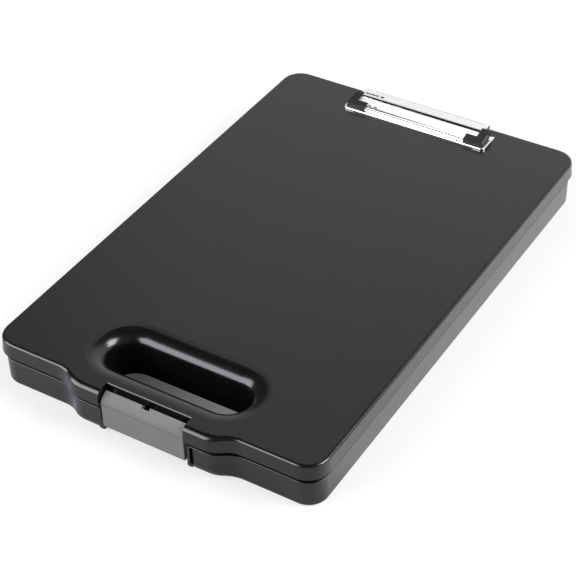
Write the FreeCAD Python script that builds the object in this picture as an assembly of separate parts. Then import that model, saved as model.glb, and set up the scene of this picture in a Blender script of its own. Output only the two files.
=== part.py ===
import FreeCAD, Part
import math
import os

# A storage clipboard box: a flat case with a hinged lid, a hand hole through lid and tray,
# a flip latch in the grip and a spring clip on the lid. Lengths are in millimetres.
# +Z is up, X runs across the box, Y runs from the grip at the front to the hinge at the back.
# The origin is on the table under the middle of the box.

Vector = FreeCAD.Vector

# Box
box_width = 248.0
box_length = 388.0
box_height = 36.0
lid_height = 11.0
corner_radius = 16.0
bulge_depth = 8.0
bulge_flat_half = 47.0
bulge_run = 23.0
overrun = 1.0
body_gap = 0.3
same_point = 1e-6
same_length = 0.01
flat_within = 1e-4

# Lid
lid_draft = 1.0
lid_wall = 2.8
lid_panel = 2.4
lid_edge_radius = 2.2
lid_bulge_radius = 4.2
lid_inner_radius = 2.5

# Tray
tray_inset = 2.3
seam_groove = 4.7
tray_top_radius = 0.5
rim_inset = 3.7
rim_drop = 3.0
cavity_inset = 5.6
tray_floor = 2.2
tray_edge_radius = 2.5
tray_bulge_radius = 6.5
tray_inner_radius = 2.0
divider_gap = 3.3
divider_thickness = 2.0
divider_rise = 1.0

# Hand hole
hole_centre_in = 35.0
hole_half_length = 53.0
hole_half_width = 15.0
hole_rim_drop = 9.5
hole_rim_reach = 13.0
hole_wall = 2.2
hole_setback = 2.5
hole_joint = 1.0

# Lid hinge
hinge_inset = 3.0
hinge_drop = 4.0
hinge_side_in = 49.0
knuckle_radius = 2.7
lid_knuckle_length = 16.0
tray_knuckle_length = 10.0
knuckle_gap = 0.5
hinge_pin_radius = 1.25
pin_clearance = 0.05
pin_end_inset = 0.5
pocket_wall = 1.8

# Latch
latch_half_width = 31.4
latch_side_gap = 1.4
latch_ear = 2.2
ear_foot_radius = 4.3
latch_thickness = 1.8
latch_face_in = 1.7
latch_bottom = 4.8
latch_foot_radius = 3.0
latch_corner = 2.5
latch_side_round = 0.6
latch_bend_rise = 0.8
latch_bend_radius = 5.6
latch_bend_angle = 61.0
latch_tip_length = 3.9
latch_notch_width = 6.0
latch_notch_depth = 1.8
latch_pivot_depth = 5.5
latch_pivot_height = 8.0
latch_pin_radius = 1.5
latch_knuckle_radius = 3.0
latch_knuckle_length = 9.0
latch_knuckle_in = 1.5
latch_web_in = 1.6
latch_hook_half = 24.0
latch_hook_in = 2.2
latch_line_in = 1.2
latch_line_width = 0.5
latch_line_depth = 0.25
latch_bead_radius = 0.35
latch_bead_rise = 0.12
latch_hook_thickness = 1.6
latch_hook_gap = 0.3
latch_hook_overlap = 2.0
catch_thickness = 1.8
catch_rise = 1.6
recess_depth = 11.0
recess_side = 0.8
recess_bevel_run = 0.4
recess_bevel_drop = 0.55
recess_wall = 2.0
well_wall_gap = 1.0
side_slot_width = 2.6
side_slot_drop = 5.5

# Clip plate
clip_width = 120.0
clip_front_in = 31.5
clip_depth = 19.5
clip_sheet = 1.0
clip_corner = 3.0
rim_width = 1.5
rim_height = 1.9
rim_round = 0.7
ear_thickness = 1.0
ear_radius = 1.95
ear_side_in = 10.9
rivet_side_in = 30.0
rivet_in = 7.0
rivet_shank = 1.5
rivet_head_radius = 3.0
rivet_head_height = 0.7
washer_radius = 4.0
washer_thickness = 0.8
rivet_fit = 0.05

# Clip jaw
jaw_sheet = 0.8
jaw_side_in = 3.0
lever_side_in = 7.0
jaw_pivot_in = 15.7
jaw_pivot_height = 4.4
arch_radius = 3.0
jaw_front_in = 2.1
jaw_lip_gap = 0.4
jaw_lip_height = 2.0
arch_front_angle = 145.0
arch_back_angle = 35.0
arch_margin_angle = 8.0
lever_reach = 7.0
lever_rise = 2.2
lever_roll_radius = 1.3
lever_roll_bore = 0.6
jaw_ear_thickness = 0.9
slit_side_in = 3.5
slit_length = 11.0
slit_width = 1.3
slit_bridge = 1.7
slit_short_length = 3.0

# Clip rod and springs
rod_radius = 0.9
rod_head_radius = 1.5
rod_head_thickness = 0.7
wire_radius = 0.35
coil_radius = 1.5
coil_pitch = 1.3
coil_turns = 6
coil_side_in = 14.0
coil_start_angle = -112.6
coil_end_angle = -300.0
gap_points_per_turn = 60
low_leg_length = 4.1
high_leg_length = 1.7

# Clip pads
pad_side_in = 2.4
pad_side_width = 7.1
pad_arm_length = 15.6
pad_front_in = 1.8
pad_arm_depth = 6.0
pad_back_reach = 1.7
pad_clear = 1.2
pad_cover = 0.9
pad_side_round = 0.8

# Places that follow from the sizes above
half_width = box_width / 2
back_y = box_length / 2
front_y = bulge_depth - box_length / 2
bulge_y = front_y - bulge_depth
hole_y = front_y + hole_centre_in
seam_height = box_height - lid_height
panel_z = box_height - lid_panel
rim_z = panel_z - rim_drop
ledge_z = seam_height - body_gap
groove_z = seam_height - seam_groove
hinge_y = back_y - hinge_inset
hinge_z = seam_height - hinge_drop
hinge_offset = half_width - hinge_side_in
pivot_y = bulge_y + latch_face_in + latch_pivot_depth
latch_y = bulge_y + latch_face_in
recess_y = bulge_y + recess_depth
well_y = recess_y + recess_wall + well_wall_gap
latch_bend_z = seam_height + latch_bend_rise
ear_inner = latch_half_width + latch_side_gap
ear_outer = ear_inner + latch_ear
lid_recess_half = latch_half_width + recess_side
clip_y = back_y - clip_front_in
clip_z = box_height + clip_sheet
clip_half = clip_width / 2
ear_offset = clip_half - ear_side_in
rivet_offset = clip_half - rivet_side_in
jaw_half_width = clip_half - jaw_side_in
lever_half_width = clip_half - lever_side_in
slit_end = lever_half_width - slit_side_in
slit_start = slit_end - slit_length
slit_short_end = slit_start - slit_bridge
slit_short_start = slit_short_end - slit_short_length
coil_start = lever_half_width - coil_side_in
pad_outer = clip_half - pad_side_in
pad_inner = pad_outer - pad_side_width
pad_arm = pad_outer - pad_arm_length
jaw_y = clip_y + jaw_pivot_in
jaw_z = box_height + jaw_pivot_height


def box(x0, x1, y0, y1, z0, z1):
    # A box between two corners.
    return Part.makeBox(x1 - x0, y1 - y0, z1 - z0, Vector(x0, y0, z0))


def rod_x(x0, x1, y, z, radius):
    # A round bar along X.
    return Part.makeCylinder(radius, x1 - x0, Vector(x0, y, z), Vector(1, 0, 0))


def rod_z(x, y, z0, z1, radius):
    # A round bar along Z.
    return Part.makeCylinder(radius, z1 - z0, Vector(x, y, z0))


def arc(centre, radius, start, stop, z):
    # A flat arc between two angles in degrees.
    points = []
    for angle in (start, (start + stop) / 2, stop):
        turn = math.radians(angle)
        x = centre[0] + radius * math.cos(turn)
        y = centre[1] + radius * math.sin(turn)
        points.append(Vector(x, y, z))
    return Part.Arc(points[0], points[1], points[2]).toShape()


def join(edges):
    # A closed wire of arcs, with a straight edge wherever two of them don't meet.
    result = []
    for index, edge in enumerate(edges):
        result.append(edge)
        end = edge.valueAt(edge.LastParameter)
        following = edges[(index + 1) % len(edges)]
        start = following.valueAt(following.FirstParameter)
        if not start.isEqual(end, same_point):
            result.append(Part.makeLine(end, start))
    return Part.Wire(result)


def outline(inset, z):
    # The box in plan, drawn in by an equal distance all round.
    swing = 2 * math.atan(bulge_depth / bulge_run)
    curve = bulge_run / 2 / math.sin(swing)
    degrees = math.degrees(swing)
    corner_x = half_width - corner_radius
    root_x = bulge_flat_half + bulge_run
    root = front_y - curve
    nose = bulge_y + curve
    radius = corner_radius - inset
    edges = [
        arc((root_x, root), curve + inset, 90 + degrees, 90, z),
        arc((corner_x, front_y + corner_radius), radius, -90, 0, z),
        arc((corner_x, back_y - corner_radius), radius, 0, 90, z),
        arc((-corner_x, back_y - corner_radius), radius, 90, 180, z),
        arc((-corner_x, front_y + corner_radius), radius, 180, 270, z),
        arc((-root_x, root), curve + inset, 90, 90 - degrees, z),
        arc((-bulge_flat_half, nose), curve - inset, 270 - degrees, 270, z),
        arc((bulge_flat_half, nose), curve - inset, 270, 270 + degrees, z),
    ]
    return join(edges)


def outline_block(inset, z0, z1):
    # The plan outline carried straight up.
    return Part.Face(outline(inset, z0)).extrude(Vector(0, 0, z1 - z0))


def lid_inset(z):
    # How far the lid's sloping side is drawn in at a height.
    return lid_draft * (z - seam_height) / (box_height - seam_height)


def lid_block(inset, z0, z1):
    # The lid's sloping outline between two heights.
    low = outline(inset + lid_inset(z0), z0)
    high = outline(inset + lid_inset(z1), z1)
    return Part.makeLoft([low, high], True, True)


def hole_block(extra, z0, z1):
    # The hand hole's long round shape, widened by an equal distance.
    radius = hole_half_width + extra
    reach = hole_half_length - hole_half_width
    edges = [
        arc((reach, hole_y), radius, -90, 90, z0),
        arc((-reach, hole_y), radius, 90, 270, z0),
    ]
    return Part.Face(join(edges)).extrude(Vector(0, 0, z1 - z0))


def level_edges(shape, z):
    # The edges that lie flat at one height.
    chosen = []
    for edge in shape.Edges:
        bounds = edge.BoundBox
        if abs(bounds.ZMin - z) < flat_within and abs(bounds.ZMax - z) < flat_within:
            chosen.append(edge)
    return chosen


def near_hole(edge, extra):
    # Whether an edge lies on the hand hole widened by an equal distance.
    centre = edge.CenterOfMass
    across = abs(centre.y - hole_y) < hole_half_width + extra + same_length
    return across and abs(centre.x) < hole_half_length + extra + same_length


def bulge_share(point):
    # How far a point of the outline has swung out to the grip bulge, from 0 to 1.
    if point.y > front_y + corner_radius / 2:
        return 0
    share = (bulge_flat_half + bulge_run - abs(point.x)) / bulge_run
    return min(max(share, 0), 1)


def round_outline(shape, z, radius, bulge_radius):
    # Rounds the outer edges at one height, with a radius that grows towards the bulge.
    document = FreeCAD.newDocument()
    sharp = document.addObject("Part::Feature")
    sharp.Shape = shape
    rounded = document.addObject("Part::Fillet")
    rounded.Base = sharp
    flat = [edge.hashCode() for edge in level_edges(shape, z)]
    chosen = []
    for number, edge in enumerate(shape.Edges, 1):
        if edge.hashCode() in flat:
            ends = (edge.firstVertex().Point, edge.lastVertex().Point)
            sizes = [radius + (bulge_radius - radius) * bulge_share(end) for end in ends]
            chosen.append((number, sizes[0], sizes[1]))
    rounded.Edges = chosen
    document.recompute()
    result = rounded.Shape.copy()
    FreeCAD.closeDocument(document.Name)
    return result


def mirrored(shape):
    # The same shape on the other side of the box.
    return shape.mirror(Vector(0, 0, 0), Vector(1, 0, 0))


def sheet_along_x(points, thickness, x0, x1):
    # A bent sheet: the line through the points, thickened to its right, carried along X.
    path = [Vector(0, y, z) for y, z in points]
    faces = []
    for start, end in zip(path, path[1:]):
        along = (end - start).normalize()
        side = Vector(0, along.z, -along.y) * thickness
        corners = [start, end, end + side, start + side, start]
        faces.append(Part.Face(Part.makePolygon(corners)))
    slabs = [face.extrude(Vector(x1 - x0, 0, 0)) for face in faces]
    result = slabs[0]
    for slab in slabs[1:]:
        result = result.fuse(slab)
    result.translate(Vector(x0, 0, 0))
    return result.removeSplitter()


def prism_along_x(points, x0, x1):
    # A closed outline in Y and Z carried along X.
    corners = [Vector(x0, y, z) for y, z in points]
    face = Part.Face(Part.makePolygon(corners + corners[:1]))
    return face.extrude(Vector(x1 - x0, 0, 0))


def lid_shell():
    # The lid: sloping skirt, rolled rim round the hand hole, latch recess and hinge arms.
    shell = lid_block(0, seam_height, box_height)
    shell = round_outline(shell, box_height, lid_edge_radius, lid_bulge_radius)
    shell = shell.cut(rimmed_hole())
    cavity = lid_block(lid_wall, seam_height - overrun, panel_z)
    cavity = cavity.makeFillet(lid_inner_radius, level_edges(cavity, panel_z))
    island = hole_block(hole_wall, seam_height - 2 * overrun, panel_z + overrun)
    cavity = cavity.cut(island)
    rim = [edge for edge in level_edges(cavity, panel_z) if near_hole(edge, hole_wall)]
    cavity = cavity.makeFillet(hole_rim_drop - hole_wall, rim)
    side = lid_recess_half + recess_wall
    cavity = cavity.cut(
        box(-side, side, bulge_y - overrun, recess_y + recess_wall, ledge_z - overrun, box_height)
    )
    shell = shell.cut(cavity)
    shell = shell.cut(lid_recess())
    shell = shell.fuse(lid_catch())
    for centre in (-hinge_offset, hinge_offset):
        shell = shell.fuse(lid_knuckle(centre))
    for centre in (-rivet_offset, rivet_offset):
        hole = rod_z(centre, clip_y + rivet_in, panel_z - overrun, box_height + overrun,
                     rivet_shank + rivet_fit)
        shell = shell.cut(hole)
    return shell.removeSplitter()


def rimmed_hole():
    # The room of the hand hole through the lid, with a rolled rim whose section is part of an ellipse.
    low = box_height - hole_rim_drop
    high = box_height + overrun
    outer = hole_half_width + hole_rim_reach
    foot = Vector(hole_half_width, 0, low)
    crest = Vector(outer, 0, box_height)
    ellipse = Part.Ellipse(foot, crest, Vector(outer, 0, low))
    curve = Part.ArcOfEllipse(ellipse, 0, math.pi / 2).toShape()
    corners = [crest, Vector(outer, 0, high), Vector(0, 0, high),
               Vector(0, 0, seam_height - overrun), Vector(hole_half_width, 0, seam_height - overrun), foot]
    sides = [Part.makeLine(start, end) for start, end in zip(corners, corners[1:])]
    section = Part.Face(Part.Wire([curve] + sides))
    end = section.revolve(Vector(0, 0, 0), Vector(0, 0, 1), 180)
    end.rotate(Vector(0, 0, 0), Vector(0, 0, 1), -90)
    reach = hole_half_length - hole_half_width
    across = section.copy()
    across.rotate(Vector(0, 0, 0), Vector(0, 0, 1), 90)
    half = across.extrude(Vector(2 * reach, 0, 0))
    half.translate(Vector(-reach, 0, 0))
    end.translate(Vector(reach, 0, 0))
    other_half = half.mirror(Vector(0, 0, 0), Vector(0, 1, 0))
    room = half.fuse([other_half, end, mirrored(end)]).removeSplitter()
    room.translate(Vector(0, hole_y, 0))
    return room


def lid_recess():
    # The room cut for the latch, with a bevelled edge along its back.
    half = lid_recess_half
    room = box(-half, half, bulge_y - overrun, recess_y, seam_height - overrun, box_height + overrun)
    bevel = prism_along_x([
        (recess_y, box_height - recess_bevel_drop),
        (recess_y + recess_bevel_run, box_height),
        (recess_y + recess_bevel_run, box_height + overrun),
        (recess_y, box_height + overrun),
    ], -half, half)
    return room.fuse(bevel).removeSplitter()


def lid_catch():
    # The ledge in the lid's recess that the latch hooks over.
    top = catch_top()
    reach = recess_y - latch_hook_gap - latch_hook_overlap
    points = [
        (recess_y + recess_wall / 2, top),
        (reach, top),
        (reach, top - catch_thickness),
        (recess_y, top - catch_thickness - catch_rise),
        (recess_y + recess_wall / 2, top - catch_thickness - catch_rise),
    ]
    return prism_along_x(points, -latch_hook_half - latch_side_gap, latch_hook_half + latch_side_gap)


def catch_top():
    # The height of the ledge under the latch's hook.
    return hook_height() - latch_hook_gap


def hook_height():
    # The underside of the latch's hook, just below where the latch bends back.
    return latch_bend_z + latch_hook_thickness + catch_rise / 2


def lid_knuckle(centre):
    # One hinge knuckle of the lid with the arm that carries it from the skirt.
    half = lid_knuckle_length / 2
    barrel = rod_x(centre - half, centre + half, hinge_y, hinge_z, knuckle_radius)
    arm = box(centre - half, centre + half, back_y - lid_wall, hinge_y + knuckle_radius,
              hinge_z, seam_height + overrun)
    bore = rod_x(centre - half - overrun, centre + half + overrun, hinge_y, hinge_z,
                 hinge_pin_radius + pin_clearance)
    return barrel.fuse(arm).cut(bore)


def tray_hinge(shell, centre):
    # The pocket in the tray's back wall, the two knuckles beside it and their bore.
    half = lid_knuckle_length / 2 + knuckle_gap
    end = half + tray_knuckle_length
    room = knuckle_radius + knuckle_gap
    backing = rod_x(centre - end, centre + end, hinge_y, hinge_z, room + pocket_wall)
    inside = box(centre - end - overrun, centre + end + overrun, hinge_y - box_height,
                 back_y - tray_inset, hinge_z - box_height, ledge_z)
    shell = shell.fuse(backing.common(inside))
    for start in (centre - end, centre + half):
        knuckle = rod_x(start, start + tray_knuckle_length, hinge_y, hinge_z, knuckle_radius)
        shell = shell.fuse(knuckle)
    shell = shell.cut(rod_x(centre - half, centre + half, hinge_y, hinge_z, room))
    slot = box(centre - half, centre + half, hinge_y, back_y, hinge_z, ledge_z + overrun)
    shell = shell.cut(slot)
    bore = rod_x(centre - end - overrun, centre + end + overrun, hinge_y, hinge_z,
                 hinge_pin_radius + pin_clearance)
    return shell.cut(bore)


def hinge_pin(centre):
    # A steel pin through one group of knuckles.
    length = lid_knuckle_length / 2 + knuckle_gap + tray_knuckle_length - pin_end_inset
    pin = rod_x(centre - length, centre + length, hinge_y, hinge_z, hinge_pin_radius)
    return pin.makeChamfer(pin_end_inset / 2, [e for e in pin.Edges if e.Closed])


def tray_ear(x0, x1):
    # One of the two walls beside the latch, which stand out a little at their rounded feet.
    ear_front = bulge_y + tray_inset
    ear = box(x0, x1, ear_front, well_y, 0, groove_z)
    foot = [edge for edge in level_edges(ear, 0) if edge.BoundBox.YMax < ear_front + same_length]
    return ear.makeFillet(ear_foot_radius, foot)


def base_tray():
    # The tray: floor, walls with an inner rim, hand hole wall, grip recess and a divider.
    shell = outline_block(tray_inset, 0, groove_z)
    shell = round_outline(shell, 0, tray_edge_radius, tray_bulge_radius)
    shell = shell.makeFillet(tray_top_radius, level_edges(shell, groove_z))
    shell = shell.fuse(outline_block(rim_inset, groove_z - overrun, rim_z))
    cavity = outline_block(cavity_inset, tray_floor, rim_z + overrun)
    cavity = cavity.makeFillet(tray_inner_radius, level_edges(cavity, tray_floor))
    tube = hole_setback + hole_wall
    cavity = cavity.cut(hole_block(tube, tray_floor - overrun, rim_z + 2 * overrun))
    cavity = cavity.cut(
        box(-ear_outer, ear_outer, bulge_y, well_y + recess_wall, 0, rim_z + 2 * overrun)
    )
    divider_y = hole_y + hole_half_width + tube + divider_gap
    cavity = cavity.cut(
        box(-half_width, half_width, divider_y, divider_y + divider_thickness, 0,
            seam_height + divider_rise)
    )
    shell = shell.cut(cavity)
    shell = shell.fuse(tray_ear(ear_inner, ear_outer))
    shell = shell.fuse(tray_ear(-ear_outer, -ear_inner))
    shell = shell.cut(hole_block(hole_setback, -overrun, rim_z + overrun))
    joint_z = seam_height + hole_joint
    shell = shell.cut(hole_block(tube + body_gap, joint_z, rim_z + overrun))
    shell = shell.cut(box(-ear_inner, ear_inner, bulge_y - overrun, well_y, -overrun, rim_z + overrun))
    clear = lid_recess_half + recess_wall + body_gap
    shell = shell.cut(box(-clear, clear, bulge_y - overrun, well_y, ledge_z, rim_z + overrun))
    slot = box(ear_outer, ear_outer + side_slot_width, bulge_y - overrun,
               bulge_y + cavity_inset + overrun, -overrun, seam_height - side_slot_drop)
    shell = shell.cut(slot)
    bore = rod_x(-ear_outer - overrun, ear_outer + overrun, pivot_y, latch_pivot_height,
                 latch_pin_radius + pin_clearance)
    shell = shell.cut(bore)
    for centre in (-hinge_offset, hinge_offset):
        shell = tray_hinge(shell, centre)
    return shell.removeSplitter()


def latch_plate():
    # The grey latch: a bowed face plate with pivot knuckles low down and a hook behind its top.
    plate = latch_face()
    hook_low = hook_height()
    hook = box(-latch_hook_half, latch_hook_half, latch_y + latch_hook_in,
               recess_y - latch_hook_gap, hook_low, hook_low + latch_hook_thickness)
    plate = plate.fuse(hook)
    low = latch_pivot_height - latch_knuckle_radius
    high = latch_pivot_height + latch_knuckle_radius
    side = latch_half_width - latch_knuckle_in
    for start_x in (-side, side - latch_knuckle_length):
        end_x = start_x + latch_knuckle_length
        knuckle = rod_x(start_x, end_x, pivot_y, latch_pivot_height, latch_knuckle_radius)
        web = box(start_x, end_x, latch_y + latch_web_in, pivot_y, low, high)
        plate = plate.fuse(knuckle.fuse(web))
    bore = rod_x(-latch_half_width - overrun, latch_half_width + overrun, pivot_y,
                 latch_pivot_height, latch_pin_radius + pin_clearance)
    plate = plate.cut(bore)
    notch = box(-latch_notch_width / 2, latch_notch_width / 2, latch_tip()[0] - latch_notch_depth,
                recess_y, latch_bend_z, box_height)
    return plate.cut(notch).removeSplitter()


def latch_face():
    # The latch's bowed face with rounded sides and lower corners, a fine line and a fine bead.
    outer = latch_profile(0)
    inner = latch_profile(latch_thickness)
    foot = Part.makeLine(first_point(inner[0]), first_point(outer[0]))
    tip = Part.makeLine(last_point(outer[-1]), last_point(inner[-1]))
    wire = Part.Wire(Part.__sortEdges__(outer + [tip] + inner[::-1] + [foot]))
    plate = Part.Face(wire).extrude(Vector(2 * latch_half_width, 0, 0))
    plate.translate(Vector(-latch_half_width, 0, 0))
    sides = [edge for edge in plate.Edges if on_latch_side(edge, outer)]
    plate = plate.makeFillet(latch_side_round, sides)
    plate = plate.common(latch_front_outline())
    reach = latch_half_width - latch_line_in
    line_z = latch_bend_z - latch_line_width
    line = box(-reach, reach, latch_y - overrun, latch_y + latch_line_depth,
               line_z - latch_line_width / 2, line_z + latch_line_width / 2)
    plate = plate.cut(line)
    bend = last_point(outer[2])
    turn = math.radians(latch_bend_angle)
    sunk = latch_bead_radius - latch_bead_rise
    bead_y = bend.y + sunk * math.cos(turn)
    bead_z = bend.z - sunk * math.sin(turn)
    return plate.fuse(rod_x(-reach, reach, bead_y, bead_z, latch_bead_radius))


def first_point(edge):
    # The point where an edge starts.
    return edge.valueAt(edge.FirstParameter)


def last_point(edge):
    # The point where an edge ends.
    return edge.valueAt(edge.LastParameter)


def on_latch_side(edge, outer):
    # Whether an edge bounds the latch's outer face at one of its two sides.
    if edge.BoundBox.XLength > same_length:
        return False
    middle = edge.valueAt((edge.FirstParameter + edge.LastParameter) / 2)
    point = Part.Vertex(Vector(0, middle.y, middle.z))
    return min(point.distToShape(line)[0] for line in outer) < same_length


def latch_front_outline():
    # The latch's outline seen from the front, with rounded lower corners, carried through its depth.
    half = latch_half_width
    deep = recess_depth
    outline_box = box(-half, half, bulge_y, bulge_y + deep, latch_bottom, box_height)
    corners = []
    for edge in outline_box.Edges:
        low = edge.BoundBox.ZMax < latch_bottom + same_length
        if low and edge.BoundBox.YLength > deep - same_length:
            corners.append(edge)
    return outline_box.makeFillet(latch_corner, corners)


def latch_profile(depth):
    # The latch's side view at a depth below its face, from its foot to its tip.
    radius = latch_foot_radius - depth
    foot = Vector(0, latch_y + latch_foot_radius, latch_bottom + latch_foot_radius)
    low = Vector(0, foot.y, foot.z - radius)
    middle = foot - Vector(0, radius, radius) / math.sqrt(2)
    high = Vector(0, foot.y - radius, foot.z)
    bend = Vector(0, latch_y + latch_bend_radius, latch_bend_z)
    turns = [math.radians(share * latch_bend_angle) for share in (0, 0.5, 1)]
    reach = latch_bend_radius - depth
    curve = [bend + Vector(0, -reach * math.cos(turn), reach * math.sin(turn)) for turn in turns]
    along = Vector(0, math.sin(turns[-1]), math.cos(turns[-1]))
    tip = curve[-1] + along * latch_tip_length
    return [
        Part.Arc(low, middle, high).toShape(),
        Part.makeLine(high, curve[0]),
        Part.Arc(curve[0], curve[1], curve[2]).toShape(),
        Part.makeLine(curve[-1], tip),
    ]


def latch_tip():
    # The top edge of the latch's face, as Y and Z.
    last = latch_profile(0)[-1]
    point = last.valueAt(last.LastParameter)
    return point.y, point.z


def latch_pin():
    # The steel pin through the tray's ears and the latch's knuckles.
    length = ear_outer - pin_end_inset / 2
    pin = rod_x(-length, length, pivot_y, latch_pivot_height, latch_pin_radius)
    return pin.makeChamfer(pin_end_inset / 2, [e for e in pin.Edges if e.Closed])


def clip_base_plate():
    # The flat plate riveted to the lid, with its folded rim and the two ears for the rod.
    back = clip_y + clip_depth
    plate = box(-clip_half, clip_half, clip_y, back, box_height, clip_z)
    upright = [e for e in plate.Edges if e.BoundBox.ZLength > clip_sheet / 2]
    front = [e for e in upright if e.CenterOfMass.y < clip_y + clip_depth / 2]
    plate = plate.makeFillet(clip_corner, front)
    rim = box(-clip_half, clip_half, clip_y, back, box_height, box_height + rim_height)
    upright = [e for e in rim.Edges if e.BoundBox.ZLength > clip_sheet / 2]
    front = [e for e in upright if e.CenterOfMass.y < clip_y + clip_depth / 2]
    rim = rim.makeFillet(clip_corner, front)
    rim = rim.makeFillet(rim_round, level_edges(rim, box_height + rim_height))
    rim = rim.cut(box(rim_width - clip_half, clip_half - rim_width, clip_y + rim_width, back + overrun,
                      box_height - overrun, box_height + rim_height + overrun))
    plate = plate.fuse(rim)
    for side in (-1, 1):
        middle = side * ear_offset
        x0 = middle - ear_thickness / 2
        x1 = middle + ear_thickness / 2
        ear = rod_x(x0, x1, jaw_y, jaw_z, ear_radius)
        ear = ear.fuse(box(x0, x1, jaw_y - ear_radius, jaw_y + ear_radius, box_height, jaw_z))
        plate = plate.fuse(ear)
        plate = plate.cut(rod_z(side * rivet_offset, clip_y + rivet_in, box_height - overrun,
                                clip_z + overrun, rivet_shank + rivet_fit))
    bore = rod_x(-clip_half, clip_half, jaw_y, jaw_z, rod_radius + pin_clearance)
    return plate.cut(bore).removeSplitter()


def jaw_points():
    # The jaw's front plate in side view: bottom of the lip, bend, and where it meets the arch.
    bend_y = clip_y + jaw_front_in
    lip_low = clip_z + jaw_lip_gap
    turn = math.radians(arch_front_angle)
    meet = (jaw_y + arch_radius * math.cos(turn), jaw_z + arch_radius * math.sin(turn))
    return (bend_y, lip_low), (bend_y, lip_low + jaw_lip_height), meet


def lever_points():
    # The lever's upper line in side view: where it leaves the arch, and its end.
    turn = math.radians(arch_back_angle)
    leave = (jaw_y + arch_radius * math.cos(turn), jaw_z + arch_radius * math.sin(turn))
    return leave, (jaw_y + lever_reach, leave[1] + lever_rise)


def clip_jaw():
    # The sprung jaw in one sheet: lip, front plate, arched cover, lever with a rolled edge.
    low, bend, meet = jaw_points()
    jaw = sheet_along_x([low, bend, meet], jaw_sheet, -jaw_half_width, jaw_half_width)
    wide = lever_half_width
    arch = rod_x(-wide, wide, jaw_y, jaw_z, arch_radius)
    arch = arch.cut(rod_x(-wide, wide, jaw_y, jaw_z, arch_radius - jaw_sheet))
    corners = [(jaw_y, jaw_z)]
    reach = 2 * arch_radius
    for angle in (arch_front_angle + arch_margin_angle, 90, arch_back_angle - arch_margin_angle):
        turn = math.radians(angle)
        corners.append((jaw_y + reach * math.cos(turn), jaw_z + reach * math.sin(turn)))
    jaw = jaw.cut(rod_x(-jaw_half_width - overrun, jaw_half_width + overrun, jaw_y, jaw_z,
                        arch_radius - jaw_sheet))
    jaw = jaw.fuse(arch.common(prism_along_x(corners, -wide, wide)))
    leave, tip = lever_points()
    lever = sheet_along_x([leave, tip], jaw_sheet, -wide, wide)
    lever = lever.cut(rod_x(-wide, wide, jaw_y, jaw_z, arch_radius - jaw_sheet))
    jaw = jaw.fuse(lever)
    rise = math.atan2(tip[1] - leave[1], tip[0] - leave[0])
    roll_y = tip[0] + lever_roll_radius * math.sin(rise)
    roll_z = tip[1] - lever_roll_radius * math.cos(rise)
    jaw = jaw.fuse(rod_x(-wide, wide, roll_y, roll_z, lever_roll_radius))
    jaw = jaw.cut(rod_x(-wide - overrun, wide + overrun, roll_y, roll_z, lever_roll_bore))
    for side in (-1, 1):
        x0 = side * wide
        x1 = side * (wide - jaw_ear_thickness)
        ear = rod_x(min(x0, x1), max(x0, x1), jaw_y, jaw_z, arch_radius)
        jaw = jaw.fuse(ear)
        for start, end in ((slit_start, slit_end), (slit_short_start, slit_short_end)):
            low_x = min(side * start, side * end)
            high_x = max(side * start, side * end)
            jaw = jaw.cut(box(low_x, high_x, leave[0], leave[0] + slit_width, jaw_z,
                              tip[1] + overrun))
    jaw = jaw.cut(rod_x(-wide - overrun, wide + overrun, jaw_y, jaw_z, rod_radius + pin_clearance))
    return jaw.removeSplitter()


def clip_pad(jaw):
    # The black corner grip on the right, shaped over the jaw's corner.
    front = clip_y + pad_front_in
    low, bend, meet = jaw_points()
    floor = clip_z + jaw_lip_gap / 2
    back = jaw_y + pad_back_reach
    top = jaw_z + arch_radius + pad_cover / 2
    profile = [
        (front, floor),
        (front, bend[1] + pad_cover / 2),
        (front + pad_cover, bend[1] + pad_cover + pad_cover / 2),
        (meet[0], meet[1] + pad_cover + pad_cover / 2),
        (jaw_y, top),
        (back, top),
        (back, jaw_z - arch_radius / 2),
        (meet[0], floor),
    ]
    arm = prism_along_x(profile, pad_inner, pad_outer)
    tip = prism_along_x(profile, pad_arm, pad_outer)
    tip = tip.common(box(pad_arm, pad_outer, front, front + pad_arm_depth, floor, top))
    pad = arm.fuse(tip).removeSplitter()
    outside = [e for e in pad.Edges if e.BoundBox.XMin > pad_outer - same_length
               and e.CenterOfMass.z > floor + same_length]
    pad = pad.makeFillet(pad_side_round, outside)
    pad = pad.cut(rod_x(pad_arm, lever_half_width + pad_clear, jaw_y, jaw_z, arch_radius))
    pad = pad.cut(box(pad_arm, lever_half_width + pad_clear, jaw_y - arch_radius, jaw_y + arch_radius,
                      box_height, jaw_z))
    pad = pad.cut(jaw)
    return max(pad.Solids, key=lambda solid: solid.Volume)


def clip_hinge_rod():
    # The rod through the plate's ears and the jaw's ears, with a head on each end.
    reach = lever_half_width + pin_clearance
    rod = rod_x(-reach, reach, jaw_y, jaw_z, rod_radius)
    for side in (-1, 1):
        start = side * reach
        end = start + side * rod_head_thickness
        rod = rod.fuse(rod_x(min(start, end), max(start, end), jaw_y, jaw_z, rod_head_radius))
    return rod


def clip_rivet(x):
    # A rivet through the plate, the lid and its washer.
    y = clip_y + rivet_in
    head = rod_z(x, y, clip_z, clip_z + rivet_head_height, rivet_head_radius)
    head = head.makeFillet(rivet_head_height / 2, level_edges(head, clip_z + rivet_head_height))
    shank = rod_z(x, y, panel_z - washer_thickness - rivet_head_height, clip_z, rivet_shank)
    foot_z = panel_z - washer_thickness
    foot = rod_z(x, y, foot_z - rivet_head_height, foot_z, rivet_head_radius)
    return head.fuse(shank).fuse(foot).removeSplitter()


def rivet_washer(x):
    # The washer under the lid that spreads the rivet's grip.
    y = clip_y + rivet_in
    ring = rod_z(x, y, panel_z - washer_thickness, panel_z, washer_radius)
    return ring.cut(rod_z(x, y, panel_z - washer_thickness - overrun, panel_z + overrun,
                          rivet_shank + rivet_fit))


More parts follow.
